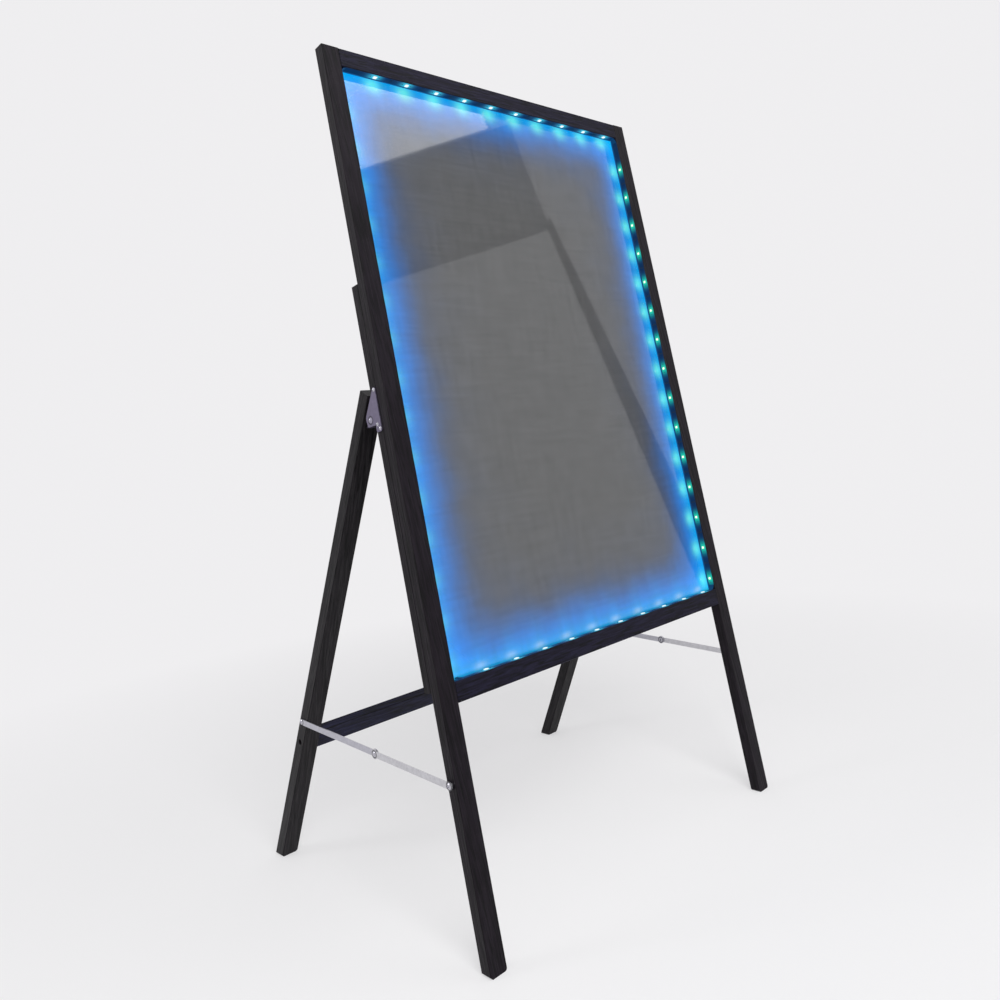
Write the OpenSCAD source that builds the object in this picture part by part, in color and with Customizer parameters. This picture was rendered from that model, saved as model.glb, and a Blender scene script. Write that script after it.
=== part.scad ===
// Lit writing board: a folding timber easel with a glazed panel and a lamp tape round its edge.
// Front faces -Y, +Z is up, the floor is z = 0 and the footprint is centred on the origin.

/* [Board] */
// Outer width across the two stiles
board_w = 642; // [500:1:800]
// Clear height of the writing opening, along the stiles
opening_h = 860; // [600:1:1100]
// Distance along a stile from the floor to the bottom rail
rail_up = 329; // [260:1:450]
// Backward lean of the front frame, in degrees
lean = 9; // [6:0.5:12]

/* [Timber] */
// Width of a stile across its front face
stile_w = 27; // [22:0.5:40]
// Depth of a stile from front to back
stile_d = 18; // [15:0.5:30]
// Height of the top and bottom rails
rail_h = 27; // [22:0.5:45]
// Width of the batten behind each stile
batten_w = 32; // [28:0.5:40]
// Thickness of the batten behind each stile
batten_t = 15; // [12:0.5:25]
// Distance along a stile from the floor to the batten's top end
batten_up = 899; // [820:1:1000]
// Chamfer taken off each long edge of the timber
arris = 0.8; // [0.4:0.1:2]
// Chamfer taken off the two side edges of each foot
foot_ease = 3; // [1:0.5:5]
// Diameter of the glued dowels in the frame's corners
dowel_dia = 6; // [4:0.5:7]
// Length of the glued dowels
dowel_l = 36; // [24:1:44]

/* [Panel] */
// Thickness of the clear writing sheet
sheet_t = 1.5; // [1:0.1:3]
// Thickness of the backing board
backing_t = 2; // [1.5:0.1:4]
// Width of the rebate that holds the panel
rebate_w = 8; // [6:0.5:11]
// Room left round the panel in its rebate
panel_clear = 0.5; // [0.2:0.1:1]

/* [Lamp tape] */
// Pitch of the lamps along the tape
led_pitch = 55.6; // [30:0.1:70]
// Width of the tape
tape_w = 10; // [8:0.5:12]
// Thickness of the tape
tape_t = 0.4; // [0.2:0.1:0.8]
// Distance of the tape behind the frame's front face
tape_setback = 1; // [0.5:0.1:2]
// Side of one square lamp
led_side = 5; // [3:0.1:6]
// Height of one lamp's body
led_h = 1.4; // [1:0.1:2]
// Distance from the left stile to the first lamp on the rails
led_first_rail = 58; // [40:0.5:70]
// Distance from the bottom rail to the first lamp on the stiles
led_first_stile = 20; // [18:0.5:40]
// Least distance from the last lamp to the next corner
led_end = 20; // [14:0.5:30]
// Bend radius of the jumpers at the corners
jumper_r = 8; // [5:0.5:12]
// Thickness of the jumpers at the corners
jumper_t = 0.8; // [0.6:0.1:1]

/* [Rear legs] */
// Width of a rear leg across its front face
leg_w = 27.5; // [24:0.5:40]
// Depth of a rear leg from front to back
leg_d = 20.5; // [18.5:0.5:30]
// Angle between the front frame and the open rear legs
open_angle = 36; // [32:0.5:40]
// Distance along a stile from the floor to the hinge
hinge_up = 714.5; // [650:0.5:780]
// How far a leg reaches above the hinge
leg_top = 28; // [20:0.5:32]
// Height of the crossbar's face
crossbar_h = 32; // [24:0.5:45]
// Depth of the crossbar
crossbar_d = 15; // [12:0.5:18]
// Distance along a leg from the floor to the middle of the crossbar
crossbar_up = 230; // [190:1:240]
// Distance of the crossbar behind the leg's front face
crossbar_in = 2; // [0.5:0.5:3]

/* [Hinge brackets] */
// Distance of the hinge rivet behind the batten
hinge_reach = 8.5; // [8.5:0.1:12]
// Distance of the hinge rivet in front of the leg
hinge_offset = 18.5; // [16:0.5:24]
// Thickness of the bracket plate
plate_t = 1.5; // [1:0.1:1.6]
// Clear width inside the leg's bracket
channel_in = 9; // [8:0.5:11]
// Radius of the rounded ears of the inner plates
lobe_r = 6.2; // [5.5:0.1:6.4]
// Radius of the outer plate's ear round the rivet
ear_r = 8.8; // [7:0.1:10]
// Height of the outer plate's top screw above the rivet
bracket_above = 38; // [32:0.5:44]
// Length of the outer plate's tail below the rivet
bracket_below = 19; // [18:0.5:26]
// Width of the outer plate's tail
tail_w = 12.2; // [11:0.1:13.4]
// Length of the leg bracket above the rivet
leg_plate_above = 24; // [18:0.5:26]
// Length of the leg bracket below the rivet
leg_plate_below = 20; // [16:0.5:30]
// Diameter of the hinge rivet
rivet_dia = 6; // [4:0.5:7]

/* [Stays] */
// Width of the flat stay bars
stay_w = 9; // [8:0.5:12]
// Thickness of the flat stay bars
stay_t = 1.5; // [1:0.1:2.5]
// Distance along a stile from the floor to the stay's screw
stay_front_up = 234; // [200:1:260]
// Distance of that screw behind the stile's front face
stay_front_in = 10; // [7:0.5:11]
// Distance along a leg from the floor to the stay's screw
stay_rear_up = 267; // [262:1:300]
// Distance of that screw behind the leg's front face
stay_rear_in = 13; // [7:0.5:13]
// Length of the front stay bar between its centres
stay_front_l = 168; // [140:1:200]
// Radius of the eyes in the middle of the stay
stay_eye_r = 6.8; // [6:0.1:8]
// Radius of the eye at the stay's screw on the stile
stay_front_eye_r = 5.6; // [5:0.1:7]
// Diameter of the stay screws and of the rivet between the bars
stay_pin_dia = 4.4; // [3:0.1:5]

/* [Controller] */
// Length of the controller's case
case_l = 68; // [64:0.5:90]
// Height of the controller's case
case_h = 34; // [30:0.5:40]
// Depth of the controller's case behind the rail
case_d = 20; // [19:0.5:26]
// Wall of the controller's case
case_wall = 1.6; // [1.2:0.1:2.2]
// Radius of the controller case's corners
case_corner_r = 4; // [3.5:0.1:5]
// How far the case reaches above the bottom rail
case_over = 9; // [8:0.5:11]
// Diameter of the mode button
button_dia = 8; // [6:0.5:10]
// Travel of the mode button
button_travel = 0.8; // [0.5:0.1:1.2]
// Diameter of the bore of the supply inlet
inlet_dia = 5.7; // [5:0.1:6.5]
// Diameter of the contact pin in the supply inlet
inlet_pin_dia = 2.1; // [1.5:0.1:2.6]

/* [Fasteners and fits] */
// Diameter of the wood screws' shanks
screw_dia = 4; // [3:0.1:4.5]
// Diameter of the wood screws' heads
screw_head_dia = 8; // [6:0.1:8.4]
// Height of the wood screws' heads
screw_head_h = 2.4; // [1.8:0.1:3]
// Depth that a wood screw bites into its second timber
screw_bite = 12; // [8:0.5:14]
// Diameter of the small screws that hold sheets and cases
small_screw_dia = 2.8; // [2:0.1:3]
// Radial room of a pin or screw in its hole
fit_gap = 0.05; // [0.03:0.01:0.1]
// Room between parts that slide past each other
run_gap = 0.3; // [0.3:0.05:0.6]

/* [Hidden] */
$fn = 48;
half_w = board_w / 2;
inner_half = half_w - stile_w;
opening_w = board_w - 2 * stile_w;
rail_top = rail_up + rail_h;
opening_top = rail_top + opening_h;
stile_len = opening_top + rail_h;
panel_y = stile_d - sheet_t - backing_t;
panel_w = opening_w + 2 * (rebate_w - panel_clear);
panel_h = opening_h + 2 * (rebate_w - panel_clear);
over_cut = 1;
dowel_r = dowel_dia / 2;
dowel_y = panel_y / 2;
dowel_step = rail_h / 4;

batten_low = rail_top - rebate_w + panel_clear;
batten_back = stile_d + batten_t;
stile_mid = half_w - stile_w / 2;
leg_mid = half_w - leg_w / 2;

// The hinge axis, in the leaning frame and in the world before it is centred
rear_lean = open_angle - lean;
pivot_y = batten_back + hinge_reach;
pivot_rise = hinge_up * cos(lean) - pivot_y * sin(lean);
pivot_back = hinge_up * sin(lean) + pivot_y * cos(lean);
leg_back = hinge_offset + leg_d;
foot_depth = pivot_back + pivot_rise * tan(rear_lean) + leg_back / cos(rear_lean);
y_shift = -foot_depth / 2;
// Heights along the leg are counted from the hinge axis
leg_floor = (pivot_rise + hinge_offset * sin(rear_lean)) / cos(rear_lean);
leg_below = leg_floor + leg_back * tan(rear_lean) + over_cut;
leg_room = (hinge_reach - run_gap + hinge_offset * cos(open_angle)) / sin(open_angle);
leg_above = min(leg_top, leg_room);
crossbar_z = crossbar_up - leg_floor;
crossbar_y = hinge_offset + crossbar_in + crossbar_d / 2;
counterbore_deep = 8;

// Hinge brackets: an outer plate on the batten's side face, an inner ear, and the leg's channel between them
rivet_r = rivet_dia / 2;
rivet_head_r = 4.4;
rivet_head_h = 2.2;
bush_r = rivet_r + 2;
corner_r = 2.5;
eye_r = 3.2;
ear_drop = 8.5;
inner_ear_half = 9;
leaf_half = 8.3;
leg_ear_out = channel_in / 2 + plate_t;
inner_ear_x = leg_mid - leg_ear_out - run_gap;
bracket_y0 = stile_d + 1;
bracket_low = hinge_up - bracket_below;
tail_back = bracket_y0 + tail_w;
bracket_screws_at = [
    [bracket_y0 + eye_r, hinge_up + bracket_above],
    [tail_back - eye_r - 0.8, hinge_up - ear_drop],
    [bracket_y0 + eye_r + 0.4, bracket_low + eye_r + 1.2]
];
leg_screw_in = 6;
leg_screw_z = [leg_screw_in - leg_plate_below, leg_plate_above - leg_screw_in];

// Stays lie in two planes outside the legs, the rear bar next to the timber
stay_pin_r = stay_pin_dia / 2;
stay_front_plane = 2 * run_gap + stay_t;
stay_end_r = stay_w / 2;
stay_head_r = stay_end_r - 0.3;
stay_head_h = 1.9;
stay_a = to_world([stay_front_in, stay_front_up], lean, [0, 0]);
stay_rear_y = hinge_offset + stay_rear_in;
stay_rear_z = stay_rear_up - leg_floor;
stay_d = to_world([stay_rear_y, stay_rear_z], -rear_lean, [pivot_back, pivot_rise]);
stay_c = stay_a + stay_front_l * unit(stay_d - stay_a);
stay_bite = 12;

// Fasteners
screw_r = screw_dia / 2;
screw_head_r = screw_head_dia / 2;
small_r = small_screw_dia / 2;
small_head_r = small_r * 2;
small_head_h = 1.6;
small_bite = 5;
batten_edge = 40;
batten_screw_z = [
    batten_low + batten_edge,
    (batten_low + bracket_low) / 2,
    batten_up - batten_edge
];
board_screw_x = [for (k = [-1, -0.35, 0.35, 1]) k * opening_w / 3];
board_screw_z = (batten_up + opening_top) / 2;
panel_edge = rebate_w / 2;

// Lamp tape
tape_y = tape_setback + tape_w / 2;
rail_leds = led_count(opening_w, led_first_rail);
stile_leds = led_count(opening_h, led_first_stile);
lens_r = led_side * 0.4;
lens_h = 0.2;
jumper_w = tape_w - 2;
ribbon_core_r = 0.6;
ribbon_step = 1.1;
ribbon_cores = 4;
ribbon_half = ribbon_step * (ribbon_cores - 1) / 2 + ribbon_core_r;

// Controller, behind the bottom rail beside the left batten
case_gap = 3;
case_x0 = -half_w + max(batten_w, stile_w) + case_gap;
ribbon_x = case_x0 + 7;
case_x1 = case_x0 + case_l;
case_z1 = rail_top + case_over;
case_z0 = case_z1 - case_h;
case_back = stile_d + case_d;
lid_t = case_wall;
boss_r = 3.2;
boss_in = case_wall + boss_r * 0.8;
boss_at = [
    [case_x0 + boss_in, case_z0 + boss_in],
    [case_x1 - boss_in, case_z1 - boss_in]
];
case_screw_z = rail_up + rail_h / 3;
case_screw_in = 21;
case_screw_x = [case_x0 + case_screw_in, case_x1 - case_screw_in];
pcb_t = 1.6;
pcb_lift = 4.5;
pcb_y = stile_d + case_wall + pcb_lift;
ribbon_room = 13;
inlet_body = 11;
inlet_room = inlet_body + 6 * case_wall;
pcb_low = 5;
pcb_high = 11;
pcb_x0 = case_x0 + ribbon_room;
pcb_x1 = case_x1 - inlet_room;
pcb_z0 = case_z0 + pcb_low;
pcb_z1 = case_z1 - pcb_high;
post_r = 2.2;
post_x = [pcb_x0 + post_r, pcb_x1 - post_r];
post_z = pcb_z1 - post_r;
button_r = button_dia / 2;
button_x = (pcb_x0 + pcb_x1) / 2;
button_z = (pcb_z0 + pcb_z1) / 2;
button_proud = 1.4;
button_flange = 1;
button_low = case_back - lid_t - button_flange - 1;
switch_side = 6;
switch_body = 3;
switch_stem_r = 1.7;
inlet_r = inlet_dia / 2;
inlet_nose_r = inlet_r + 1.2;
inlet_deep = 9.5;
inlet_side = 2 * inlet_nose_r + 1;
inlet_y = stile_d + case_d / 2;
inlet_z = case_z0 + case_wall + inlet_side / 2 + 3;

black = [0.05, 0.05, 0.055];
dark_wood = [0.06, 0.055, 0.055];
zinc = [0.62, 0.61, 0.65];
rivet_steel = [0.7, 0.7, 0.72];
pale_wood = [0.72, 0.58, 0.4];

// A point given as [back, up] in a leaning part, in the world before it is centred
function to_world(p, tilt, base) = base + [
    p[0] * cos(tilt) + p[1] * sin(tilt),
    p[1] * cos(tilt) - p[0] * sin(tilt)
];
function unit(v) = v / norm(v);
function led_count(run, first) = floor((run - first - led_end) / led_pitch) + 1;
function chamfered(w, d, c) = [
    [c, 0], [w - c, 0], [w, c], [w, d - c], [w - c, d], [c, d], [0, d - c], [0, c]
];
// Unit normal of the outer tangent that runs from circle a to circle b, each [x, y, r], counter-clockwise
function tangent_normal(a, b) =
    let (
        span = [b[0] - a[0], b[1] - a[1]],
        along = unit(span),
        k = (a[2] - b[2]) / norm(span)
    )
    k * along + sqrt(1 - k * k) * [along[1], -along[0]];
function rim(c, n) = [c[0], c[1]] + c[2] * n;

// Placement
module in_frame() translate([0, y_shift, 0]) rotate([-lean, 0, 0]) children();
module in_leg() translate([0, y_shift + pivot_back, pivot_rise]) rotate([rear_lean, 0, 0]) children();
module in_world() translate([0, y_shift, 0]) children();
module both_sides() {
    children();
    mirror([1, 0, 0]) children();
}
module floor_cut() {
    difference() {
        children();
        translate([-board_w, -foot_depth, -board_w]) cube([2 * board_w, 2 * foot_depth, board_w]);
    }
}
// Takes the corner off both side edges of a foot
module eased_foot(low, high) {
    difference() {
        children();
        for (e = [[low + foot_ease, 180], [high - foot_ease, 0]])
            translate([e[0], 0, 0]) rotate([0, -45, e[1]])
                translate([-stile_w, -foot_depth, -stile_w]) cube([2 * stile_w, 2 * foot_depth, stile_w]);
    }
}
// Cylinders along X and Y, starting at a point
module rod_x(at, r, l) translate(at) rotate([0, 90, 0]) cylinder(r = r, h = l);
module rod_y(at, r, l) translate(at) rotate([-90, 0, 0]) cylinder(r = r, h = l);
// A plate square to X, drawn as [back, up]
module side_plate(x, t) translate([x, 0, 0]) rotate([90, 0, 90]) linear_extrude(t) children();
// A plate square to Y, drawn as [across, up]
module back_plate(y, t) translate([0, y + t, 0]) rotate([90, 0, 0]) linear_extrude(t) children();

// Outline that wraps a ring of circles, counter-clockwise, with straight runs between them
module wrapped(circles) {
    n = len(circles);
    polygon([
        for (i = [0 : n - 1])
            let (a = circles[i], b = circles[(i + 1) % n], out = tangent_normal(a, b))
            each [rim(a, out), rim(b, out)]
    ]);
    for (c = circles) translate([c[0], c[1]]) circle(c[2]);
}
module timber(w, d, l) linear_extrude(l) polygon(chamfered(w, d, arris));
// A shallow dome whose flat side is at z = 0
module dome(r, h) {
    ball = (r * r + h * h) / (2 * h);
    intersection() {
        translate([0, 0, h - ball]) sphere(ball);
        cylinder(r = r + over_cut, h = h + over_cut);
    }
}
// Cross recess for a driver, cut down from z = 0
module cross_recess(r, deep) {
    for (a = [0, 90]) rotate([0, 0, a]) cube([1.2 * r, 0.3 * r, 2 * deep], center = true);
}
module driven_dome(r, h) {
    difference() {
        dome(r, h);
        translate([0, 0, h]) cross_recess(r, h / 2);
    }
}
// Countersunk screw along +Z, with its head's top at z = 0
module sunk_screw(l, room = 0) {
    translate([0, 0, -room]) cylinder(r = screw_r + room, h = l + room);
    cylinder(r1 = screw_head_r + room, r2 = screw_r + room, h = screw_head_h);
}
// Small pan-head screw along +Z, with the seat of its head at z = 0
module small_screw(l) {
    cylinder(r = small_r, h = l);
    mirror([0, 0, 1]) driven_dome(small_head_r, small_head_h);
}

// Front frame
module dowels(room = 0) {
    for (z = [rail_up + rail_h / 2, opening_top + rail_h / 2])
        for (k = [-1, 1])
            both_sides() translate([inner_half, dowel_y, z + k * dowel_step])
                rod_x([-dowel_l / 2 - room, 0, 0], dowel_r + room, dowel_l + 2 * room);
}
// Seats of the panel and of its edge screws
module panel_cuts() {
    translate([-inner_half - rebate_w, panel_y, rail_top - rebate_w])
        cube([opening_w + 2 * rebate_w, stile_d, opening_h + 2 * rebate_w]);
    board_screw_places() translate([0, 0, -stile_d])
        cylinder(r = small_r + fit_gap, h = 2 * stile_d - panel_y + small_bite);
}
// Screws through the panel's edge, pointing to the front, from the backing board's back face
module board_screw_places() {
    for (z = [rail_top - panel_edge, opening_top + panel_edge])
        for (x = board_screw_x) translate([x, stile_d, z]) rotate([90, 0, 0]) children();
    for (k = [-1, 1])
        translate([k * (inner_half + panel_edge), stile_d, board_screw_z]) rotate([90, 0, 0]) children();
}
// Screws through the battens, pointing to the front, from the battens' back faces
module batten_screw_places() {
    for (z = batten_screw_z)
        both_sides() translate([stile_mid, batten_back, z]) rotate([90, 0, 0]) children();
}
module right_stile() {
    color(dark_wood) eased_foot(inner_half, half_w) floor_cut() in_frame() difference() {
        translate([inner_half, 0, -stile_d]) timber(stile_w, stile_d, stile_len + stile_d);
        panel_cuts();
        dowels(fit_gap);
        batten_screw_places() sunk_screw(batten_t + screw_bite, fit_gap);
        rod_x([half_w - stay_bite, stay_front_in, stay_front_up], stay_pin_r + fit_gap, stay_bite + over_cut);
    }
}
module left_stile() mirror([1, 0, 0]) right_stile();
module rail(z) {
    color(dark_wood) in_frame() difference() {
        translate([-inner_half, 0, z]) rotate([90, 0, 90]) timber(stile_d, rail_h, opening_w);
        panel_cuts();
        dowels(fit_gap);
        case_screw_places() translate([0, 0, -over_cut]) cylinder(r = small_r + fit_gap, h = 2 * small_bite);
    }
}
module top_rail() rail(opening_top);
module bottom_rail() rail(rail_up);
module frame_dowels() color(pale_wood) in_frame() dowels();

// Panel
module panel_layer(y, t) {
    in_frame() difference() {
        translate([-panel_w / 2, y, rail_top - rebate_w + panel_clear]) cube([panel_w, t, panel_h]);
        board_screw_places() translate([0, 0, -stile_d]) cylinder(r = small_r + fit_gap, h = 2 * stile_d);
        ribbon_slot();
    }
}
module writing_sheet() color([0.75, 0.8, 0.85, 0.35]) panel_layer(panel_y, sheet_t);
module backing_board() color([0.4, 0.4, 0.4]) panel_layer(panel_y + sheet_t, backing_t);
module board_screws() {
    color(zinc) in_frame() board_screw_places() small_screw(stile_d - panel_y + small_bite - fit_gap);
}

// Battens that clamp the panel's sides and carry the hinges
module right_back_batten() {
    color(dark_wood) in_frame() difference() {
        translate([half_w - batten_w, stile_d, batten_low])
            timber(batten_w, batten_t, batten_up - batten_low);
        batten_screw_places() sunk_screw(2 * batten_back, fit_gap);
        for (p = bracket_screws_at)
            rod_x([half_w - screw_bite, p[0], p[1]], small_r + fit_gap, screw_bite + over_cut);
    }
}
module left_back_batten() mirror([1, 0, 0]) right_back_batten();
module batten_screws() {
    color(zinc) in_frame() batten_screw_places() difference() {
        sunk_screw(batten_t + screw_bite - fit_gap);
        cross_recess(screw_r, screw_head_h / 2);
    }
}

// Lamp tape: each run is drawn along +X on a face at z = 0
module tape_run(run, start, stop) {
    translate([start, tape_setback, 0]) cube([run - start - stop, tape_w, tape_t]);
}
module lamp_run(count, first) {
    for (i = [0 : count - 1]) translate([first + i * led_pitch, tape_y, tape_t]) {
        translate([-led_side / 2, -led_side / 2, 0]) cube([led_side, led_side, led_h]);
        translate([0, 0, led_h]) cylinder(r = lens_r, h = lens_h);
    }
}
module on_bottom() in_frame() translate([-inner_half, 0, rail_top]) children();
module on_top() in_frame() mirror([0, 0, 1]) translate([-inner_half, 0, -opening_top]) children();
module on_right() in_frame() translate([inner_half, 0, rail_top]) rotate([0, -90, 0]) children();
module on_left() mirror([1, 0, 0]) on_right() children();
module led_tape_bottom() color([0.06, 0.09, 0.2]) on_bottom() tape_run(opening_w, case_gap, jumper_r);
module led_tape_right() color([0.06, 0.09, 0.2]) on_right() tape_run(opening_h, jumper_r, jumper_r);
module led_tape_top() color([0.06, 0.09, 0.2]) on_top() tape_run(opening_w, jumper_r, jumper_r);
module led_tape_left() color([0.06, 0.09, 0.2]) on_left() tape_run(opening_h, case_gap, jumper_r);
module leds_bottom() color([0.7, 1, 0.9]) on_bottom() lamp_run(rail_leds, led_first_rail);
module leds_right() color([0.7, 1, 0.9]) on_right() lamp_run(stile_leds, led_first_stile);
module leds_top() color([0.7, 1, 0.9]) on_top() lamp_run(rail_leds, led_first_rail);
module leds_left() color([0.7, 1, 0.9]) on_left() lamp_run(stile_leds, led_first_stile);
// Flat jumpers that carry the tape round three corners
module jumper() {
    translate([jumper_r, tape_y + jumper_w / 2, jumper_r]) rotate([90, 0, 0]) rotate([0, 0, 180])
        rotate_extrude(angle = 90)
            translate([jumper_r - fit_gap - jumper_t, 0]) square([jumper_t, jumper_w]);
}
module corner_jumpers() {
    color([0.85, 0.85, 0.85]) in_frame() {
        translate([inner_half, 0, rail_top]) mirror([1, 0, 0]) jumper();
        translate([inner_half, 0, opening_top]) mirror([1, 0, 0]) mirror([0, 0, 1]) jumper();
        translate([-inner_half, 0, opening_top]) mirror([0, 0, 1]) jumper();
    }
}
// Flat lead from the controller to the start of the tape, and its slot through the panel
module ribbon_slot() {
    translate([ribbon_x - ribbon_half - panel_clear, 0, rail_top])
        cube([2 * (ribbon_half + panel_clear), case_back, tape_t + 2 * ribbon_core_r + panel_clear]);
}
module supply_ribbon() {
    core_z = rail_top + tape_t + ribbon_core_r + fit_gap;
    color([0.85, 0.85, 0.82]) in_frame() translate([ribbon_x - ribbon_half + ribbon_core_r, tape_y, core_z])
        for (i = [0 : ribbon_cores - 1])
            rod_y([i * ribbon_step, 0, 0], ribbon_core_r, pcb_y - tape_y - panel_clear);
}

// Controller
module case_screw_places() {
    for (x = case_screw_x) translate([x, stile_d, case_screw_z]) rotate([90, 0, 0]) children();
}
// Outline of the case, drawn in by a margin
module case_outline(margin) {
    r = case_corner_r - margin;
    wrapped([
        for (c = [[0, 0], [1, 0], [1, 1], [0, 1]]) [
            c[0] > 0 ? case_x1 - case_corner_r : case_x0 + case_corner_r,
            c[1] > 0 ? case_z1 - case_corner_r : case_z0 + case_corner_r,
            r
        ]
    ]);
}
module controller_case() {
    color(black) in_frame() difference() {
        union() {
            difference() {
                back_plate(stile_d, case_d - lid_t) case_outline(0);
                back_plate(stile_d + case_wall, case_d) case_outline(case_wall);
            }
            for (b = boss_at) rod_y([b[0], stile_d, b[1]], boss_r, case_d - lid_t);
            for (x = post_x) rod_y([x, stile_d, post_z], post_r, pcb_y - stile_d);
        }
        for (b = boss_at)
            rod_y([b[0], case_back - lid_t - 2 * small_bite, b[1]], small_r + fit_gap, 3 * small_bite);
        case_screw_places() translate([0, 0, -case_d]) cylinder(r = small_r + fit_gap, h = 2 * case_d);
        rod_x([case_x1 - 2 * case_wall, inlet_y, inlet_z], inlet_nose_r + fit_gap, 3 * case_wall);
        ribbon_slot();
    }
}
module controller_lid() {
    color(black) in_frame() difference() {
        back_plate(case_back - lid_t, lid_t) case_outline(0);
        for (b = boss_at) rod_y([b[0], case_back - 2 * lid_t, b[1]], small_r + fit_gap, 3 * lid_t);
        rod_y([button_x, case_back - 2 * lid_t, button_z], button_r + run_gap, 3 * lid_t);
    }
}
module controller_board() {
    color([0.05, 0.3, 0.15]) in_frame() {
        translate([pcb_x0, pcb_y, pcb_z0]) cube([pcb_x1 - pcb_x0, pcb_t, pcb_z1 - pcb_z0]);
        translate([button_x - switch_side / 2, pcb_y + pcb_t, button_z - switch_side / 2])
            cube([switch_side, switch_body, switch_side]);
        rod_y([button_x, pcb_y, button_z], switch_stem_r, button_low - button_travel - run_gap - pcb_y);
    }
}
module controller_screws() {
    color(zinc) in_frame() {
        for (b = boss_at)
            translate([b[0], case_back, b[1]]) rotate([90, 0, 0]) small_screw(lid_t + small_bite);
        case_screw_places() translate([0, 0, -case_wall]) small_screw(case_wall + small_bite);
    }
}
module dc_inlet() {
    color([0.12, 0.12, 0.13]) in_frame() translate([case_x1, inlet_y, inlet_z]) {
        difference() {
            union() {
                translate([-case_wall - inlet_body, -inlet_side / 2, -inlet_side / 2])
                    cube([inlet_body, inlet_side, inlet_side]);
                rod_x([-2 * case_wall, 0, 0], inlet_nose_r, 2 * case_wall);
            }
            rod_x([-inlet_deep, 0, 0], inlet_r, 2 * inlet_deep);
        }
        rod_x([-inlet_deep - over_cut, 0, 0], inlet_pin_dia / 2, inlet_deep);
    }
}
module mode_button() {
    color([0.35, 0.35, 0.37]) in_frame() {
        rod_y([button_x, button_low, button_z], button_r, case_back + button_proud - button_low);
        rod_y([button_x, case_back - lid_t - button_flange, button_z], button_r + 1.5, button_flange);
    }
}

// Hinges
module right_frame_bracket() {
    outer_ear = [
        [bracket_y0 + corner_r, hinge_up - ear_drop + corner_r, corner_r],
        [pivot_y + ear_r - corner_r, hinge_up - ear_drop + corner_r, corner_r],
        [pivot_y + corner_r / 2, hinge_up + corner_r, ear_r],
        [bracket_y0 + eye_r, hinge_up + bracket_above, eye_r]
    ];
    tail = [
        [bracket_y0 + corner_r, bracket_low + corner_r, corner_r],
        [tail_back - corner_r, bracket_low + corner_r, corner_r],
        [tail_back - corner_r, hinge_up, corner_r],
        [bracket_y0 + corner_r, hinge_up, corner_r]
    ];
    inner_ear = [
        [pivot_y, hinge_up, lobe_r],
        [batten_back + corner_r, hinge_up + inner_ear_half, corner_r],
        [batten_back + corner_r, hinge_up - inner_ear_half, corner_r]
    ];
    leaf_x = inner_ear_x - plate_t;
    color(zinc) in_frame() difference() {
        union() {
            side_plate(half_w, plate_t) {
                wrapped(outer_ear);
                wrapped(tail);
            }
            side_plate(leaf_x, plate_t) wrapped(inner_ear);
            translate([leaf_x, batten_back, hinge_up - leaf_half + over_cut])
                cube([half_w + plate_t - leaf_x, plate_t, 2 * leaf_half - over_cut]);
        }
        rod_x([leaf_x - over_cut, pivot_y, hinge_up], rivet_r + fit_gap, leg_w + 2 * plate_t);
        for (p = bracket_screws_at) rod_x([half_w - plate_t, p[0], p[1]], small_r + fit_gap, 3 * plate_t);
    }
}
module left_frame_bracket() mirror([1, 0, 0]) right_frame_bracket();
module frame_bracket_screws() {
    color(rivet_steel) in_frame() both_sides()
        for (p = bracket_screws_at)
            translate([half_w + plate_t, p[0], p[1]]) rotate([0, -90, 0])
                small_screw(plate_t + screw_bite - fit_gap);
}
module hinge_rivets() {
    low = inner_ear_x - plate_t;
    high = half_w + plate_t;
    color(rivet_steel) in_frame() both_sides() translate([0, pivot_y, hinge_up]) {
        rod_x([low, 0, 0], rivet_r, high - low);
        translate([low, 0, 0]) rotate([0, -90, 0]) dome(rivet_head_r, rivet_head_h);
        translate([high, 0, 0]) rotate([0, 90, 0]) dome(rivet_head_r, rivet_head_h);
    }
}
// Bushes that keep the leg's channel off the outer plate
module hinge_bushes() {
    start = leg_mid + leg_ear_out + run_gap;
    color(rivet_steel) in_frame() both_sides() translate([0, pivot_y, hinge_up]) difference() {
        rod_x([start, 0, 0], bush_r, half_w - start);
        rod_x([start - over_cut, 0, 0], rivet_r + fit_gap, leg_w);
    }
}
module right_leg_bracket() {
    color(zinc) in_leg() translate([leg_mid, 0, 0]) difference() {
        union() {
            for (x = [-leg_ear_out, leg_ear_out - plate_t]) side_plate(x, plate_t) {
                circle(lobe_r);
                translate([0, -lobe_r]) square([hinge_offset, 2 * lobe_r]);
            }
            translate([-leg_ear_out, hinge_offset - plate_t, -leg_plate_below])
                cube([2 * leg_ear_out, plate_t, leg_plate_below + leg_plate_above]);
        }
        rod_x([-2 * leg_ear_out, 0, 0], rivet_r + fit_gap, 4 * leg_ear_out);
        for (z = leg_screw_z) rod_y([0, hinge_offset - 2 * plate_t, z], small_r + fit_gap, 3 * plate_t);
    }
}
module left_leg_bracket() mirror([1, 0, 0]) right_leg_bracket();
module leg_bracket_screws() {
    color(rivet_steel) in_leg() both_sides()
        for (z = leg_screw_z)
            translate([leg_mid, hinge_offset - plate_t, z]) rotate([-90, 0, 0])
                small_screw(plate_t + screw_bite - fit_gap);
}

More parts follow.
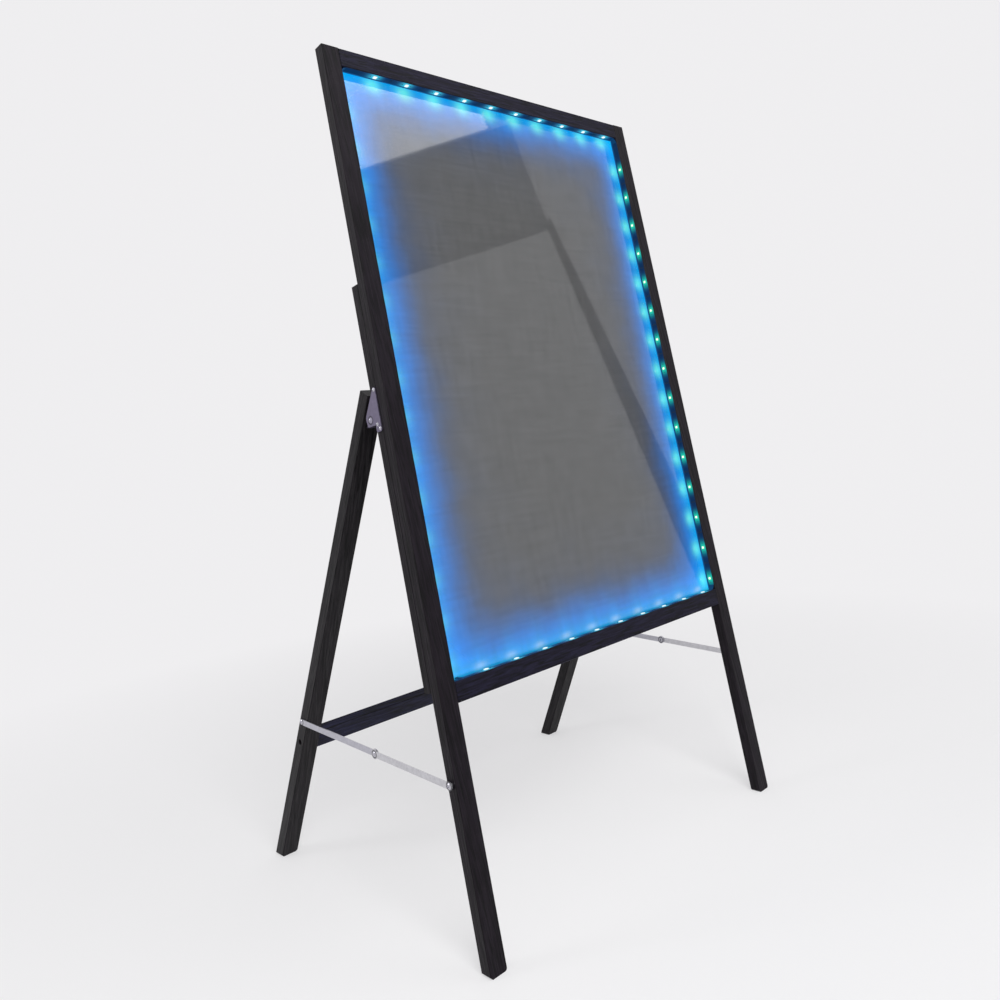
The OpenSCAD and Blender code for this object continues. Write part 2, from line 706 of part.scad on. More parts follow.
// Rear legs
module right_rear_leg() {
    color(dark_wood) eased_foot(half_w - leg_w, half_w) floor_cut() in_leg() difference() {
        translate([half_w - leg_w, hinge_offset, -leg_below]) timber(leg_w, leg_d, leg_below + leg_above);
        for (z = leg_screw_z)
            rod_y([leg_mid, hinge_offset - over_cut, z], small_r + fit_gap, screw_bite + over_cut);
        translate([half_w, crossbar_y, crossbar_z]) {
            rod_x([-2 * leg_w, 0, 0], screw_r + fit_gap, 4 * leg_w);
            rod_x([-counterbore_deep, 0, 0], screw_head_r + run_gap, 2 * counterbore_deep);
        }
        rod_x([half_w - stay_bite, stay_rear_y, stay_rear_z], stay_pin_r + fit_gap, stay_bite + over_cut);
    }
}
module left_rear_leg() mirror([1, 0, 0]) right_rear_leg();
module rear_crossbar() {
    span = board_w - 2 * leg_w;
    color(dark_wood) in_leg() difference() {
        translate([-span / 2, hinge_offset + crossbar_in, crossbar_z - crossbar_h / 2]) rotate([90, 0, 90])
            timber(crossbar_d, crossbar_h, span);
        both_sides() translate([span / 2, crossbar_y, crossbar_z])
            rod_x([-2 * screw_bite, 0, 0], screw_r + fit_gap, 3 * screw_bite);
    }
}
module crossbar_screws() {
    reach = leg_w - counterbore_deep + 2 * screw_bite - fit_gap;
    color(zinc) in_leg() both_sides()
        translate([half_w - counterbore_deep, crossbar_y, crossbar_z]) rotate([0, 90, 0]) {
            translate([0, 0, -reach]) cylinder(r = screw_r, h = reach);
            driven_dome(screw_head_r, screw_head_h);
        }
}

// Folding stays
module stay_bar(plane, p, q, p_eye) {
    color(zinc) in_world() side_plate(half_w + plane, stay_t) difference() {
        union() {
            wrapped([[p[0], p[1], stay_end_r], [q[0], q[1], stay_end_r]]);
            translate(p) circle(p_eye);
            translate(q) circle(stay_eye_r);
        }
        for (c = [p, q]) translate(c) circle(stay_pin_r + fit_gap);
    }
}
module right_front_stay() stay_bar(stay_front_plane, stay_a, stay_c, stay_front_eye_r);
module right_rear_stay() stay_bar(run_gap, stay_d, stay_c, stay_end_r);
module left_front_stay() mirror([1, 0, 0]) right_front_stay();
module left_rear_stay() mirror([1, 0, 0]) right_rear_stay();
// Pin along X with a domed head outside a bar in the given plane
module stay_pin(at, plane, inner, driven = true) {
    in_world() translate([half_w, at[0], at[1]]) {
        rod_x([inner, 0, 0], stay_pin_r, plane + stay_t + fit_gap - inner);
        translate([plane + stay_t + fit_gap, 0, 0]) rotate([0, 90, 0])
            if (driven) driven_dome(stay_head_r, stay_head_h);
            else dome(stay_head_r, stay_head_h);
    }
}
module right_stay_rivet() color(rivet_steel) stay_pin(stay_c, stay_front_plane, stay_front_plane, false);
module left_stay_rivet() mirror([1, 0, 0]) right_stay_rivet();
module stay_front_screws() {
    color(rivet_steel) both_sides() stay_pin(stay_a, stay_front_plane, fit_gap - stay_bite);
}
module stay_rear_screws() color(rivet_steel) both_sides() stay_pin(stay_d, run_gap, fit_gap - stay_bite);
module stay_spacers() {
    color(rivet_steel) both_sides() in_world() side_plate(half_w, stay_front_plane - fit_gap) difference() {
        translate(stay_a) circle(stay_head_r);
        translate(stay_a) circle(stay_pin_r + fit_gap);
    }
}

left_stile();
right_stile();
top_rail();
bottom_rail();
frame_dowels();
writing_sheet();
backing_board();
board_screws();
left_back_batten();
right_back_batten();
batten_screws();
led_tape_bottom();
led_tape_right();
led_tape_top();
led_tape_left();
leds_bottom();
leds_right();
leds_top();
leds_left();
corner_jumpers();
supply_ribbon();
controller_case();
controller_lid();
controller_board();
controller_screws();
dc_inlet();
mode_button();
left_frame_bracket();
right_frame_bracket();
frame_bracket_screws();
hinge_rivets();
hinge_bushes();
left_leg_bracket();
right_leg_bracket();
leg_bracket_screws();
left_rear_leg();
right_rear_leg();
rear_crossbar();
crossbar_screws();
left_front_stay();
left_rear_stay();
left_stay_rivet();
right_front_stay();
right_rear_stay();
right_stay_rivet();
stay_front_screws();
stay_spacers();
stay_rear_screws();
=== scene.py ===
import bpy
import bmesh
import math
from mathutils import Matrix, Vector


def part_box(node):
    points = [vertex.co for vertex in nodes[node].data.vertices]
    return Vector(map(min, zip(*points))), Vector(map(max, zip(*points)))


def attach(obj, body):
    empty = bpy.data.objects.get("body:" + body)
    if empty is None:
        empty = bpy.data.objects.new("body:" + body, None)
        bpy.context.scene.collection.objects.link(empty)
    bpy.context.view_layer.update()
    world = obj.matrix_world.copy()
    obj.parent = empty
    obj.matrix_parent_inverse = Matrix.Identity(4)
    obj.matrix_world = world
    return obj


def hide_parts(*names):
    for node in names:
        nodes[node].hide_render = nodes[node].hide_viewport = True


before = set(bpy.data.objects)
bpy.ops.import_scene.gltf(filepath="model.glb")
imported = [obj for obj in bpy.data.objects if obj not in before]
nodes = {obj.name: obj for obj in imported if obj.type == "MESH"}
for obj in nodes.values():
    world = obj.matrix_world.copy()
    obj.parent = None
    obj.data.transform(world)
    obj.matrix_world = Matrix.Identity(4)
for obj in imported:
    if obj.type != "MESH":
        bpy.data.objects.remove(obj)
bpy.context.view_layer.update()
print("frame loaded:", len(nodes), "nodes")

# the stand's own geometry, in metres
stand = {
    "lean": math.radians(9), "rearLean": math.radians(27),
    "yShift": -0.276399,  # puts the footprint's middle on the origin
    "innerHalf": 0.294, "railTop": 0.356, "openingTop": 1.216,
    "panelDepth": 0.0145, "sheetThick": 0.0015, "panelOver": 0.0075,
    "pivot": (-0.123638, 0.699211), "slack": 0.0002,
}
toFrame = Matrix.Translation((0, stand["yShift"], 0)) @ Matrix.Rotation(-stand["lean"], 4, "X")


class Val:
    # one shader socket that takes part in Python sums
    def __init__(self, finish, socket):
        self.finish, self.socket = finish, socket

    def math(self, operation, *others):
        return self.finish.node("ShaderNodeMath", {"operation": operation}, dict(enumerate((self, *others))))

    def flipped(self, operation, other):
        return self.finish.node("ShaderNodeMath", {"operation": operation}, {0: other, 1: self})

    def __add__(self, other): return self.math("ADD", other)
    def __radd__(self, other): return self.flipped("ADD", other)
    def __sub__(self, other): return self.math("SUBTRACT", other)
    def __rsub__(self, other): return self.flipped("SUBTRACT", other)
    def __mul__(self, other): return self.math("MULTIPLY", other)
    def __rmul__(self, other): return self.flipped("MULTIPLY", other)
    def __truediv__(self, other): return self.math("DIVIDE", other)
    def __rtruediv__(self, other): return self.flipped("DIVIDE", other)
    def __pow__(self, other): return self.math("POWER", other)
    def __rpow__(self, other): return self.flipped("POWER", other)
    def __neg__(self): return self.math("MULTIPLY", -1)
    def __abs__(self): return self.math("ABSOLUTE")
    def exp(self): return self.math("EXPONENT")
    def least(self, other): return self.math("MINIMUM", other)
    def most(self, other): return self.math("MAXIMUM", other)
    def below(self, other): return self.math("LESS_THAN", other)
    def above(self, other): return self.math("GREATER_THAN", other)
    def bell(self, width): return (-((self / width) ** 2)).exp()


class Finish:
    # one procedural material, or the world's
    def __init__(self, name, world=None):
        self.material = world or bpy.data.materials.new(name)
        self.material.use_nodes = True
        self.tree = self.material.node_tree
        self.tree.nodes.clear()

    def node(self, kind, settings=None, sockets=None, out=0):
        made = self.tree.nodes.new(kind)
        for key, value in (settings or {}).items():
            if key == "stops":
                ramp = made.color_ramp
                while len(ramp.elements) < len(value):
                    ramp.elements.new(1)
                for element, (place, colour) in zip(ramp.elements, value):
                    element.position, element.color = place, colour
            else:
                setattr(made, key, value)
        for key, value in (sockets or {}).items():
            if isinstance(value, Val):
                self.tree.links.new(value.socket, made.inputs[key])
            else:
                made.inputs[key].default_value = value
        return Val(self, made.outputs[out]) if len(made.outputs) else None

    def outputs(self, kind, settings, sockets, count):
        first = self.node(kind, settings, sockets)
        return [Val(self, first.socket.node.outputs[i]) for i in range(count)]

    def place(self):
        return self.outputs("ShaderNodeSeparateXYZ", {}, {0: self.node("ShaderNodeTexCoord", {}, {}, 3)}, 3)

    def tilted(self, centre, tilt):
        # across, depth and length along a leaning piece
        x, y, z = self.place()
        y = y - centre[0]
        z = z - centre[1]
        return x, y * math.cos(tilt) - z * math.sin(tilt), y * math.sin(tilt) + z * math.cos(tilt)

    def join(self, x, y, z):
        return self.node("ShaderNodeCombineXYZ", {}, {0: x, 1: y, 2: z})

    def noise(self, vector, scale, detail=4, roughness=0.55):
        return self.node("ShaderNodeTexNoise", {},
                         {"Vector": vector, "Scale": scale, "Detail": detail, "Roughness": roughness})

    def mix(self, factor, a, b):
        return self.node("ShaderNodeMix", {"data_type": "RGBA"}, {0: factor, 6: a, 7: b}, 2)

    def ramp(self, factor, *stops):
        return self.node("ShaderNodeValToRGB", {"stops": stops}, {0: factor})

    def bump(self, height, strength, distance):
        return self.node("ShaderNodeBump", {}, {"Strength": strength, "Distance": distance, "Height": height})

    def shown(self):
        # 1 where the camera sees the stage, straight, mirrored or through glass
        path = self.node("ShaderNodeLightPath").socket.node.outputs
        rays = [Val(self, path[f"Is {kind} Ray"]) for kind in ("Camera", "Glossy", "Transmission")]
        return rays[0].most(rays[1]).most(rays[2])

    def surface(self, **sockets):
        named = {key.replace("_", " "): value for key, value in sockets.items()}
        shader = self.node("ShaderNodeBsdfPrincipled", {}, named)
        self.node("ShaderNodeOutputMaterial", {}, {0: shader})
        return self.material


def grey(v):
    return (v, v, v, 1)


def scaled(colour, amount):
    return tuple(min(1, c * amount) for c in colour[:3]) + (1,)


# black satin paint over open grain
timber = {
    "paint": (0.0125, 0.0080, 0.0135), "pore": (0.0016, 0.0012, 0.0022),
    "worn": (0.025, 0.0185, 0.0265), "wornShare": 0.6,
    "fibreScale": 430, "fibreStretch": 0.05, "poreFrom": 0.36, "poreTo": 0.5,
    "figureScale": 120, "figureStretch": 0.045, "rings": 30, "ringHigh": 0.5, "skew": 0.06,
    "streakWide": 0.0045, "streakLong": 0.085, "streakSkew": 0.10, "streakFrom": 0.54, "streakTo": 0.64,
    "streak": 0.8, "streakDeep": 0.3,
    "roughness": 0.38, "fibreRough": 0.2, "ringRough": 0.05, "specular": 0.13, "bump": 0.4, "bumpDepth": 0.0007,
    # the member tints stand in for light: frame and leg are lit and shaded copies of the one paint, cool and
    # crossbar add a painted blue cast of lamp light, and arris darkens the edges as painted shade
    "frame": (0.52, 0.52, 0.54), "leg": (0.86, 1.08, 0.82), "cool": (0.45, 0.56, 1.0),
    "crossbar": (0.62, 0.92, 1.85), "arris": (0.4, 0.4, 0.4), "square": 0.9,
    "lit": (0.006, 0.11, 0.36, 1), "litFade": 5,
}


def timberFinish(name, centre, tilt, alongX=False, inner=None, tint=(1, 1, 1)):
    f = Finish(name)
    across, depth, along = f.tilted(centre, tilt)
    if alongX:
        run, side, other = across, depth, along
    else:
        run, side, other = along, across, depth
    slant = side + run * timber["skew"]  # the grain runs a little off the edge
    fibres = f.noise(f.join(slant, other, run * timber["fibreStretch"]), timber["fibreScale"], 5, 0.6)
    figure = f.noise(f.join(slant, other, run * timber["figureStretch"]), timber["figureScale"], 3, 0.5)
    rings = ((figure * timber["rings"]).math("SINE") * 0.5 + 0.5) ** 2
    pores = f.ramp(fibres, (timber["poreFrom"], grey(1)), (timber["poreTo"], grey(0)))
    drift = side + run * timber["streakSkew"]
    wide, long = 1 / timber["streakWide"], 1 / timber["streakLong"]
    streaks = f.noise(f.join(drift * wide, other * wide, run * long), 1.0, 2)
    streaks = f.ramp(streaks, (timber["streakFrom"], grey(0)), (timber["streakTo"], grey(1)))
    paint, worn, pore = (tuple(c * t for c, t in zip(timber[k], tint)) + (1,) for k in ("paint", "worn", "pore"))
    colour = f.mix(rings * timber["wornShare"], paint, worn)
    colour = f.mix(pores, colour, pore)
    colour = f.mix(streaks * timber["streak"], colour, pore)
    height = fibres + rings * timber["ringHigh"] - streaks * timber["streakDeep"]
    rough = timber["roughness"] + fibres * timber["fibreRough"] - rings * timber["ringRough"]
    sockets = dict(Base_Color=colour, Roughness=rough, Specular_IOR_Level=timber["specular"],
                   Normal=f.bump(height, timber["bump"], timber["bumpDepth"]))
    if inner:
        # lamp light caught by the faces round the opening
        if inner == "rail":
            lit = along.above(stand["railTop"] - stand["slack"]) * along.below(stand["openingTop"] + stand["slack"])
        else:
            lit = abs(across).below(stand["innerHalf"] + stand["slack"])
            lit = lit * along.above(stand["railTop"]) * along.below(stand["openingTop"])
        lit = lit * (depth / stand["panelDepth"]).most(0) ** timber["litFade"]
        sockets.update(Emission_Color=f.mix(lit, grey(0), timber["lit"]), Emission_Strength=1.0)
    return f.surface(**sockets)


frameCentre = (stand["yShift"], 0)
# each member's tint is painted light or shade, not a different paint
stileWood = timberFinish("stile_paint", frameCentre, stand["lean"], inner="stile", tint=timber["frame"])
railWood = timberFinish("rail_paint", frameCentre, stand["lean"], True, "rail", timber["cool"])
battenWood = timberFinish("batten_paint", frameCentre, stand["lean"], tint=timber["frame"])
legWood = timberFinish("leg_paint", stand["pivot"], -stand["rearLean"], tint=timber["leg"])
crossbarWood = timberFinish("crossbar_paint", stand["pivot"], -stand["rearLean"], True, tint=timber["crossbar"])
# the arris finishes are the paint at 0.4, a painted shade along every edge
frameArris = timberFinish("frame_arris", frameCentre, stand["lean"], tint=timber["arris"])
legArris = timberFinish("leg_arris", stand["pivot"], -stand["rearLean"], tint=timber["arris"])
print("timber finishes made")

lamps = {
    "pitch": 0.0556, "railFirst": 0.058, "stileFirst": 0.020, "railCount": 10, "stileCount": 15,
    "tapeMid": 0.006, "tapeThick": 0.0004, "side": 0.005, "height": 0.0014, "sides": 16,
    "bowl": 0.0023, "bowlDeep": 0.00045, "bowlFloor": 0.86, "hotSpot": 0.0018, "pool": 0.0094, "bluePool": 0.0125,
    "padOut": 0.0008, "padWide": 0.0011, "padHigh": 0.0004, "padOff": 0.0013,
}


def toNearest(along, first, count):
    # distance along a run to the nearest lamp of it
    step = (along - first) / lamps["pitch"]
    lamp = (step + 0.5).math("FLOOR").most(0).least(count - 1)
    return (step - lamp) * lamps["pitch"]


# grey linen-faced board, lit from its edges
panel = {
    "grey": 0.072, "blueCast": 1.01, "thread": 0.0011, "weave": 0.035, "roughness": 0.62, "specular": 0.2,
    "slub": 0.20, "warpWide": 0.0085, "weftWide": 0.0048, "slubLong": 0.065, "cloud": 0.10, "cloudSize": 0.05,
    "bump": 0.12, "bumpDepth": 0.0003, "coatRoughness": 0.03, "coatIor": 1.58,
    "glow": 0.82, "reach": 0.0445, "green": 0.27, "skirt": 0.05, "skirtReach": 0.10, "glowCloth": 0.8,
    "waver": 0.5, "waverSize": 0.07,
    "dim": 0.95, "dimReach": 0.061, "near": 0.11, "nearReach": 0.016, "shadeHigh": 0.003, "shade": 0.4,
    "poolAlong": 0.014, "poolOut": 0.008, "poolAcross": 0.0125, "pool": (0.12, 0.52, 0.06), "poolLeft": 0.3,
    "fanAlong": 0.013, "fanReach": 0.034, "fan": (0.0, 0.045, 0.05),
    "sparkUp": 0.0065, "sparkAlong": 0.010, "sparkHigh": 0.0046, "spark": (0.20, 0.13, 0.0),
}


def panelFinish():
    f = Finish("linen_board")
    x, depth, s = f.tilted(frameCentre, stand["lean"])
    left, right = x + stand["innerHalf"], stand["innerHalf"] - x
    low, high = s - stand["railTop"], stand["openingTop"] - s
    # plain weave with uneven threads
    warpWide, weftWide, long = 1 / panel["warpWide"], 1 / panel["weftWide"], 1 / panel["slubLong"]
    warpSlub = f.noise(f.join(x * warpWide, s * long, 0), 1.0, 2)
    weftSlub = f.noise(f.join(x * long, s * weftWide, 3.7), 1.0, 2)
    warp = (x * (2 * math.pi / panel["thread"])).math("SINE")
    weft = (s * (2 * math.pi / panel["thread"])).math("SINE")
    clouds = f.noise(f.join(x, s, 0), 1 / panel["cloudSize"], 3, 0.6)
    slubs = (warpSlub + weftSlub - 1.0) * (2 * panel["slub"])
    cloth = slubs + warp * weft * panel["weave"] + (clouds - 0.5) * (2 * panel["cloud"])
    # painted light let in round the edges, fading a little unevenly
    waver = 1 + (f.noise(f.join(x, s, 8.1), 1 / panel["waverSize"], 2) - 0.5) * panel["waver"]
    edges = [edge * waver for edge in (left, right, low, high)]

    def roundEdges(amount, reach):
        unlit = 1.0
        for edge in edges:
            unlit = (1 - edge.bell(reach) * amount) * unlit
        return 1 - unlit

    glow = roundEdges(panel["glow"], panel["reach"]) + roundEdges(panel["skirt"], panel["skirtReach"])
    # the glow fades on the lowest millimetres: painted shade of the bottom tape
    glow = glow * (1 + cloth * panel["glowCloth"]) * (1 - low.bell(panel["shadeHigh"]) * panel["shade"])
    # a painted bright line close to each edge
    near = roundEdges(panel["near"], panel["nearReach"])
    nearStile = toNearest(s, stand["railTop"] + lamps["stileFirst"], lamps["stileCount"])
    nearRail = toNearest(left, lamps["railFirst"], lamps["railCount"])
    # painted reflections of the lamps, laid on the board as pools of light, fainter on the left
    byLeft, byRight, byTop = ((edge - panel["poolOut"]).bell(panel["poolAcross"]) for edge in (left, right, high))
    pools = nearStile.bell(panel["poolAlong"]) * (byRight + byLeft * panel["poolLeft"])
    pools = pools + nearRail.bell(panel["poolAlong"]) * byTop
    # painted fans of lamp light above each bottom lamp
    fans = nearRail.bell(panel["fanAlong"]) * low.bell(panel["fanReach"])
    # painted reflections of the bottom lamps, just above each lamp
    sparks = nearRail.bell(panel["sparkAlong"]) * (low - panel["sparkUp"]).bell(panel["sparkHigh"])
    red, green, blue = (pools * pool + fans * fan + sparks * spark
                        for pool, fan, spark in zip(panel["pool"], panel["fan"], panel["spark"]))
    light = f.node("ShaderNodeCombineColor", {}, {0: red, 1: green + glow * panel["green"] + near, 2: blue + glow})
    # the grey is darkened towards the edges, where the painted glow lies
    shade = (panel["grey"] * (1 + cloth)) * (1 - roundEdges(panel["dim"], panel["dimReach"]))
    base = f.node("ShaderNodeCombineColor", {}, {0: shade, 1: shade, 2: shade * panel["blueCast"]})
    return f.surface(Base_Color=base, Roughness=panel["roughness"], Specular_IOR_Level=panel["specular"],
                     Emission_Color=light, Emission_Strength=1.0,
                     Normal=f.bump(slubs, panel["bump"], panel["bumpDepth"]),
                     Coat_Weight=1.0, Coat_Roughness=panel["coatRoughness"], Coat_IOR=panel["coatIor"])


linen = panelFinish()


# bare hardboard with a fine fleck
hardboard = {
    "dark": (0.032, 0.031, 0.03, 1), "pale": (0.07, 0.067, 0.062, 1), "fleckScale": 420,
    "cloud": (0.045, 0.044, 0.044, 1), "cloudScale": 9, "cloudShare": 0.4,
    "roughness": 0.62, "fleckRough": 0.2, "bump": 0.2, "bumpDepth": 0.0003,
}


def boardBackFinish():
    f = Finish("hardboard_back")
    x, depth, s = f.tilted(frameCentre, stand["lean"])
    fleck = f.noise(f.join(x, depth, s), hardboard["fleckScale"], 6, 0.7)
    cloud = f.noise(f.join(x, depth, s), hardboard["cloudScale"], 3)
    colour = f.mix(fleck, hardboard["dark"], hardboard["pale"])
    colour = f.mix(cloud * hardboard["cloudShare"], colour, hardboard["cloud"])
    return f.surface(Base_Color=colour, Roughness=hardboard["roughness"] + fleck * hardboard["fleckRough"],
                     Normal=f.bump(fleck, hardboard["bump"], hardboard["bumpDepth"]))


boardBack = boardBackFinish()


def middle(node):
    # a pin's centre in the side view
    low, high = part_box(node)
    return (low[1] + high[1]) / 2, (low[2] + high[2]) / 2


# plated steel, with painted shade and a rougher band in a ring round its pins
plate = {
    "fineScale": 2600, "fineStretch": 0.06, "fineRough": 0.16, "bump": 0.06, "bumpDepth": 0.0002,
    "spangleScale": 190, "spangleSharp": 2.2, "spangleRough": 0.08, "darker": 0.87, "paler": 1.09,
    "pinShadeAt": 0.0050, "pinShadeWide": 0.0010, "pinShade": 0.85, "pinShadeTone": (0.03, 0.028, 0.034, 1), "pinShadeRough": 0.3,
}


def metalFinish(name, colour, roughness, streakAxis, pins=()):
    f = Finish(name)
    x, y, z = f.place()
    drawn = [c * plate["fineStretch"] if i == streakAxis else c for i, c in enumerate((x, y, z))]
    fine = f.noise(f.join(*drawn), plate["fineScale"], 3)
    spangle = f.noise(f.join(x, y, z), plate["spangleScale"], 4, 0.65)
    spangle = ((spangle - 0.5) * plate["spangleSharp"] + 0.5).most(0).least(1)
    tone = f.mix(spangle, scaled(colour, plate["darker"]), scaled(colour, plate["paler"]))
    rough = roughness + fine * plate["fineRough"] + spangle * plate["spangleRough"]
    for pin in pins:
        py, pz = middle(pin)
        span = ((y - py) ** 2 + (z - pz) ** 2) ** 0.5
        # painted shade: a dark, rougher ring round each pin
        ring = (span - plate["pinShadeAt"]).bell(plate["pinShadeWide"]) * plate["pinShade"]
        tone = f.mix(ring, tone, plate["pinShadeTone"])
        rough = rough + ring * plate["pinShadeRough"]
    return f.surface(Base_Color=tone, Metallic=1.0, Roughness=rough,
                     Normal=f.bump(fine, plate["bump"], plate["bumpDepth"]))


stayPins = ("stay_front_screws", "left_stay_rivet", "stay_rear_screws")
# the bracket zinc is darkened well below its own colour, a painted shade for where it sits against the stile; the
# hinge pins are darkened with it
zinc = metalFinish("zinc_plate", (0.175, 0.155, 0.225, 1), 0.30, 2, ("hinge_rivets",))
hingePin = metalFinish("hinge_pin", (0.34, 0.32, 0.40, 1), 0.12, 0)
# the stays are one plated steel in a shaded and a lit copy: rear stays painted darker, front stays lighter
rearStayZinc = metalFinish("rear_stay_plate", (0.50, 0.495, 0.55, 1), 0.24, 1, stayPins)
frontStayZinc = metalFinish("front_stay_plate", (0.60, 0.595, 0.625, 1), 0.24, 1, stayPins)
steel = metalFinish("bright_steel", (0.50, 0.49, 0.54, 1), 0.12, 0)


# moulded, sleeved and lacquered surfaces with a fine pebble
pebbled = {"darker": 0.85, "paler": 1.15, "rough": 0.12, "bump": 0.14, "bumpDepth": 0.00025}


def plasticFinish(name, colour, roughness, grain=1500, coat=0.0, specular=0.5, lit=(0, 0, 0, 1)):
    f = Finish(name)
    x, y, z = f.place()
    pebble = f.noise(f.join(x, y, z), grain, 3)
    tone = f.mix(pebble, scaled(colour, pebbled["darker"]), scaled(colour, pebbled["paler"]))
    return f.surface(Base_Color=tone, Roughness=roughness + pebble * pebbled["rough"], Coat_Weight=coat,
                     Normal=f.bump(pebble, pebbled["bump"], pebbled["bumpDepth"]),
                     Specular_IOR_Level=specular, Emission_Color=lit, Emission_Strength=1.0)


casePlastic = plasticFinish("case_moulding", (0.014, 0.014, 0.015, 1), 0.42)
inletPlastic = plasticFinish("inlet_moulding", (0.02, 0.02, 0.021, 1), 0.3, 900, 0.2)
buttonPlastic = plasticFinish("button_moulding", (0.16, 0.16, 0.17, 1), 0.5)
# the ribbon and jumpers glow blue: painted lamp light falling on them
leadPlastic = plasticFinish("lead_sleeve", (0.010, 0.011, 0.014, 1), 0.45, 700, 0, 0.2, (0.002, 0.03, 0.10, 1))
jumperPlastic = plasticFinish("jumper_film", (0.004, 0.007, 0.016, 1), 0.5, 700, 0, 0.1, (0.002, 0.04, 0.12, 1))
dullCopper = plasticFinish("dull_copper", (0.02, 0.024, 0.035, 1), 0.4, 900, 0, 0.2)
solderMask = plasticFinish("solder_mask", (0.02, 0.13, 0.05, 1), 0.32, 600, 0.4)
beech = plasticFinish("bare_beech", (0.56, 0.42, 0.26, 1), 0.6, 500)


# lit faces of the lamps
lampFace = {"base": 0.1, "roughness": 0.25, "grain": 3000, "pale": 0.15}


def lightFinish(name, colour, strength):
    f = Finish(name)
    x, y, z = f.place()
    grain = f.noise(f.join(x, y, z), lampFace["grain"], 2)
    tone = f.mix(grain * lampFace["pale"], colour, grey(1))
    return f.surface(Base_Color=grey(lampFace["base"]), Roughness=lampFace["roughness"],
                     Emission_Color=tone, Emission_Strength=strength)


packageWhite = lightFinish("lamp_body_cool", (0.78, 0.97, 1.0, 1), 0.95)
packageGreen = lightFinish("lamp_body", (0.06, 0.80, 0.40, 1), 0.95)
hotWhite = lightFinish("lamp_core", (0.9, 1.0, 0.66, 1), 1.6)
hotCyan = lightFinish("lamp_core_cool", (0.72, 1.0, 1.0, 1), 1.6)
greenRim = lightFinish("lamp_rim", (0.07, 0.78, 0.30, 1), 1.0)
cyanRim = lightFinish("lamp_rim_cool", (0.12, 0.62, 0.80, 1), 1.0)


# dark flexible circuit with a painted pool of lamp light round each lamp and a faint painted blue glow between them
tape = {
    "film": (0.003, 0.005, 0.012, 1), "fleck": (0.006, 0.010, 0.026, 1), "fleckScale": 900,
    "roughness": 0.42, "specular": 0.1, "between": (0.0015, 0.018, 0.062), "blue": 0.28,
    "stileHalo": (0.012, 0.60, 0.08), "railHalo": (0.05, 0.58, 0.45),
}


def tapeFinish(name, axis, halo):
    f = Finish(name)
    x, depth, s = f.tilted(frameCentre, stand["lean"])
    if axis == "rail":
        along = toNearest(x + stand["innerHalf"], lamps["railFirst"], lamps["railCount"])
    else:
        along = toNearest(s, stand["railTop"] + lamps["stileFirst"], lamps["stileCount"])
    span = (along * along + (depth - lamps["tapeMid"]) ** 2) ** 0.5
    pool = span.bell(lamps["pool"])
    red, green, blue = (between + pool * light for between, light in zip(tape["between"], halo))
    blue = blue + span.bell(lamps["bluePool"]) * tape["blue"]
    light = f.node("ShaderNodeCombineColor", {}, {0: red, 1: green, 2: blue})
    colour = f.mix(f.noise(f.join(x, depth, s), tape["fleckScale"], 2), tape["film"], tape["fleck"])
    return f.surface(Base_Color=colour, Roughness=tape["roughness"], Specular_IOR_Level=tape["specular"],
                     Emission_Color=light, Emission_Strength=1.0)


stileTape = tapeFinish("stile_tape", "stile", tape["stileHalo"])
railTape = tapeFinish("rail_tape", "rail", tape["railHalo"])
print("panel, lamp and metal finishes made")


def dress(material, *names):
    for name in names:
        nodes[name].data.materials.clear()
        nodes[name].data.materials.append(material)


dress(stileWood, "left_stile", "right_stile")
dress(railWood, "top_rail", "bottom_rail")
dress(battenWood, "left_back_batten", "right_back_batten")
dress(legWood, "left_rear_leg", "right_rear_leg")
dress(crossbarWood, "rear_crossbar")
dress(beech, "frame_dowels")
dress(zinc, "left_frame_bracket", "right_frame_bracket", "left_leg_bracket", "right_leg_bracket")
dress(rearStayZinc, "left_rear_stay", "right_rear_stay")
dress(frontStayZinc, "left_front_stay", "right_front_stay")
dress(hingePin, "hinge_rivets", "hinge_bushes")
dress(steel, "frame_bracket_screws", "leg_bracket_screws", "board_screws", "batten_screws", "crossbar_screws")
dress(steel, "stay_front_screws", "stay_spacers", "stay_rear_screws", "left_stay_rivet", "right_stay_rivet")
dress(steel, "controller_screws")
dress(stileTape, "led_tape_left", "led_tape_right")
dress(railTape, "led_tape_bottom", "led_tape_top")
dress(jumperPlastic, "corner_jumpers")
dress(leadPlastic, "supply_ribbon")
dress(casePlastic, "controller_case", "controller_lid")
dress(solderMask, "controller_board")
dress(inletPlastic, "dc_inlet")
dress(buttonPlastic, "mode_button")


# faces that aren't square to their timber are its arrises, which take the darker arris finish as painted shade
def dressArris(arris, lean, *names):
    square = Matrix.Rotation(lean, 3, "X")
    for name in names:
        nodes[name].data.materials.append(arris)
        for face in nodes[name].data.polygons:
            if max(abs(c) for c in square @ face.normal) < timber["square"]:
                face.material_index = 1


dressArris(frameArris, stand["lean"], "left_stile", "right_stile", "left_back_batten", "right_back_batten")
dressArris(legArris, -stand["rearLean"], "left_rear_leg", "right_rear_leg", "rear_crossbar")

# the board shows linen in front and bare hardboard behind
board = nodes["backing_board"]
board.data.materials.clear()
board.data.materials.append(linen)
board.data.materials.append(boardBack)
frontWay = toFrame.to_3x3() @ Vector((0, -1, 0))
for face in board.data.polygons:
    face.material_index = 0 if face.normal.dot(frontWay) > 0.5 else 1


def addPiece(name, bm, materials, body, slot, *replaced):
    mesh = bpy.data.meshes.new(name)
    bmesh.ops.recalc_face_normals(bm, faces=bm.faces)
    bm.to_mesh(mesh)
    bm.free()
    piece = bpy.data.objects.new(name, mesh)
    bpy.context.scene.collection.objects.link(piece)
    for material in materials:
        mesh.materials.append(material)
    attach(piece, body)
    if replaced:
        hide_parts(*replaced)


